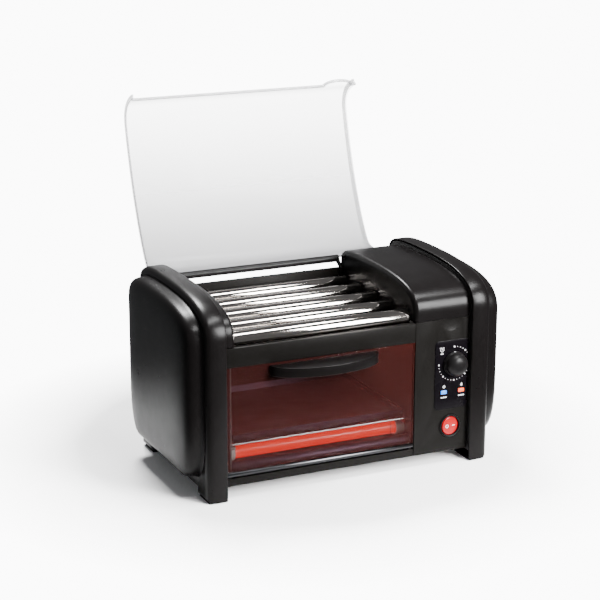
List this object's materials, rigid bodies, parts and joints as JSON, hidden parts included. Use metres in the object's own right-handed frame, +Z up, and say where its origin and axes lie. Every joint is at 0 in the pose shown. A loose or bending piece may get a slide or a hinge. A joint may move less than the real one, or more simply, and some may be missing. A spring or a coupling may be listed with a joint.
{
  "type": "hot dog roller grill",
  "caption": "Tabletop hot dog roller grill with a toaster oven under its rollers, a glass oven door, side controls and a clear hood shown raised.",
  "frame": {"origin": "middle of the whole box's footprint, on the surface it stands on", "axes": "+X to the right seen from the front, +Y to the back, +Z up"},
  "size_m": [0.399, 0.3508, 0.4081],
  "materials": {
    "black_shell": "satin moulded",
    "black_panel": "fine textured powder coat",
    "overlay": "printed film",
    "sheet_steel": "rolled",
    "roller_chrome": "polished",
    "acetal": "moulded",
    "black_nylon": "moulded",
    "dark_tray": "dark non-stick coat",
    "clear_acrylic": "clear",
    "smoked_glass": "smoked",
    "quartz": "glowing",
    "ceramic": "unglazed",
    "rubber": "matt",
    "red_button": "gloss",
    "blue_lens": "lit lens",
    "orange_lens": "lit lens"
  },
  "bodies": {
    "cabinet": {"left_end_cap": "black_shell", "right_end_cap": "black_shell", "left_bearing_cover": "black_shell", "gearbox_cover": "black_shell", "control_panel": "black_panel", "front_fascia": "black_panel", "back_panel": "black_panel", "left_hinge_bracket": "black_panel", "right_hinge_bracket": "black_panel", "control_overlay": "overlay", "left_bearing_plate": "sheet_steel", "right_bearing_plate": "sheet_steel", "base_plate": "sheet_steel", "drip_pan": "sheet_steel", "gear_motor": "sheet_steel", "wire_rack": "sheet_steel", "left_bearing_strip": "acetal", "right_bearing_strip": "acetal", "left_side_frame": "black_nylon", "right_side_frame": "black_nylon", "timer_body": "black_nylon", "rocker_housing": "black_nylon", "cord_gland": "black_nylon", "lower_reflector": "dark_tray", "bun_tray": "dark_tray", "lower_heater": "quartz", "upper_heater": "quartz", "lower_heater_left_end": "ceramic", "lower_heater_right_end": "ceramic", "foot_pad_front_left": "rubber", "foot_pad_front_right": "rubber", "foot_pad_back_left": "rubber", "foot_pad_back_right": "rubber", "blue_lamp": "blue_lens", "orange_lamp": "orange_lens"},
    "hood": {"hood_shell": "clear_acrylic", "hood_hinge_bar": "black_nylon"},
    "door": {"door_glass": "smoked_glass", "door_rail": "black_nylon", "door_handle": "black_shell"},
    "crumb_drawer": {"crumb_tray": "dark_tray"},
    "timer_dial": {"timer_knob": "black_nylon", "timer_shaft": "sheet_steel"},
    "power_rocker": {"rocker_button": "red_button"},
    "roller_set_1": {"roller_1": "roller_chrome", "roller_gear_1": "acetal"},
    "roller_set_2": {"roller_2": "roller_chrome", "roller_gear_2": "acetal"},
    "roller_set_3": {"roller_3": "roller_chrome", "roller_gear_3": "acetal"},
    "roller_set_4": {"roller_4": "roller_chrome", "roller_gear_4": "acetal"},
    "roller_set_5": {"roller_5": "roller_chrome", "roller_gear_5": "acetal"},
    "idler_1": {"idler_gear_1": "acetal"},
    "idler_2": {"idler_gear_2": "acetal"},
    "idler_3": {"idler_gear_3": "acetal"},
    "idler_4": {"idler_gear_4": "acetal"},
    "drive_pinion": {"motor_pinion": "acetal"}
  },
  "joints": [
    {"name": "hood_hinge", "type": "hinge", "parent": "cabinet", "child": "hood", "pos_m": [0, 0.05694, 0.2055], "axis": [1, 0, 0], "range_deg": [0, 114]},
    {"name": "door_hinge", "type": "hinge", "parent": "cabinet", "child": "door", "pos_m": [0, -0.14206, 0.0275], "axis": [1, 0, 0], "range_deg": [0, 74]},
    {"name": "crumb_tray_slide", "type": "slide", "parent": "cabinet", "child": "crumb_drawer", "axis": [0, -1, 0], "range_m": [0, 0.19]},
    {"name": "timer_turn", "type": "hinge", "parent": "cabinet", "child": "timer_dial", "pos_m": [0.134, -0.14506, 0.1218], "axis": [0, 1, 0], "range_deg": [0, 270]},
    {"name": "power_rock", "type": "hinge", "parent": "cabinet", "child": "power_rocker", "pos_m": [0.1305, -0.14256, 0.0455], "axis": [0, 0, -1], "range_deg": [0, 16]},
    {"name": "roller_1_spin", "type": "hinge", "parent": "cabinet", "child": "roller_set_1", "pos_m": [0, -0.12706, 0.18], "axis": [1, 0, 0], "continuous": true},
    {"name": "roller_2_spin", "type": "hinge", "parent": "cabinet", "child": "roller_set_2", "pos_m": [0, -0.08706, 0.18], "axis": [1, 0, 0], "continuous": true},
    {"name": "roller_3_spin", "type": "hinge", "parent": "cabinet", "child": "roller_set_3", "pos_m": [0, -0.04706, 0.18], "axis": [1, 0, 0], "continuous": true},
    {"name": "roller_4_spin", "type": "hinge", "parent": "cabinet", "child": "roller_set_4", "pos_m": [0, -0.00706, 0.18], "axis": [1, 0, 0], "continuous": true},
    {"name": "roller_5_spin", "type": "hinge", "parent": "cabinet", "child": "roller_set_5", "pos_m": [0, 0.03294, 0.18], "axis": [1, 0, 0], "continuous": true},
    {"name": "idler_1_spin", "type": "hinge", "parent": "cabinet", "child": "idler_1", "pos_m": [0.095, -0.10706, 0.18], "axis": [1, 0, 0], "continuous": true},
    {"name": "idler_2_spin", "type": "hinge", "parent": "cabinet", "child": "idler_2", "pos_m": [0.095, -0.06706, 0.18], "axis": [1, 0, 0], "continuous": true},
    {"name": "idler_3_spin", "type": "hinge", "parent": "cabinet", "child": "idler_3", "pos_m": [0.095, -0.02706, 0.18], "axis": [1, 0, 0], "continuous": true},
    {"name": "idler_4_spin", "type": "hinge", "parent": "cabinet", "child": "idler_4", "pos_m": [0.095, 0.01294, 0.18], "axis": [1, 0, 0], "continuous": true},
    {"name": "pinion_spin", "type": "hinge", "parent": "cabinet", "child": "drive_pinion", "pos_m": [0.095, -0.04706, 0.16], "axis": [1, 0, 0], "continuous": true}
  ],
  "couplings": [
    {"joint": "roller_2_spin", "follows": "roller_1_spin", "ratio": 1},
    {"joint": "roller_3_spin", "follows": "roller_1_spin", "ratio": 1},
    {"joint": "roller_4_spin", "follows": "roller_1_spin", "ratio": 1},
    {"joint": "roller_5_spin", "follows": "roller_1_spin", "ratio": 1},
    {"joint": "idler_1_spin", "follows": "roller_1_spin", "ratio": -1.3333},
    {"joint": "idler_2_spin", "follows": "roller_1_spin", "ratio": -1.3333},
    {"joint": "idler_3_spin", "follows": "roller_1_spin", "ratio": -1.3333},
    {"joint": "idler_4_spin", "follows": "roller_1_spin", "ratio": -1.3333},
    {"joint": "pinion_spin", "follows": "roller_1_spin", "ratio": -1.3333}
  ]
}
